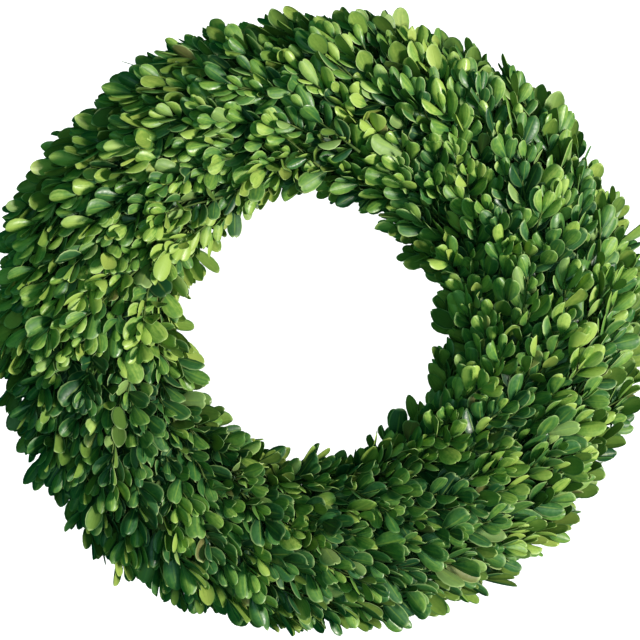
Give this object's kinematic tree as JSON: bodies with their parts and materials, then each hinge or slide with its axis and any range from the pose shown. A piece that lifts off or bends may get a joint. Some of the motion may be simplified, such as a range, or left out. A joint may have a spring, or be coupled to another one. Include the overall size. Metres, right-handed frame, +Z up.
{
  "type": "boxwood wreath",
  "caption": "Round wreath of leafy boxwood bunches, laid one over the next and bound with wire to a flat double-hoop frame.",
  "frame": {"origin": "middle of the underside, on the surface that the wreath lies on", "axes": "+Z up out of the wreath's front, along the ring's axis; +X to the right and +Y to the top of the wreath as it hangs"},
  "size_m": [0.4611, 0.4468, 0.0994],
  "materials": {
    "boxwood": "satin",
    "frame_wire": "satin",
    "binding_wire": "satin"
  },
  "bodies": {
    "root": {"bunch_01": "boxwood", "bunch_02": "boxwood", "bunch_03": "boxwood", "bunch_04": "boxwood", "bunch_05": "boxwood", "bunch_06": "boxwood", "bunch_07": "boxwood", "bunch_08": "boxwood", "bunch_09": "boxwood", "bunch_10": "boxwood", "bunch_11": "boxwood", "bunch_12": "boxwood", "bunch_13": "boxwood", "bunch_14": "boxwood", "bunch_15": "boxwood", "bunch_16": "boxwood", "bunch_17": "boxwood", "bunch_18": "boxwood", "wire_frame": "frame_wire", "binding_wire": "binding_wire"}
  },
  "joints": []
}
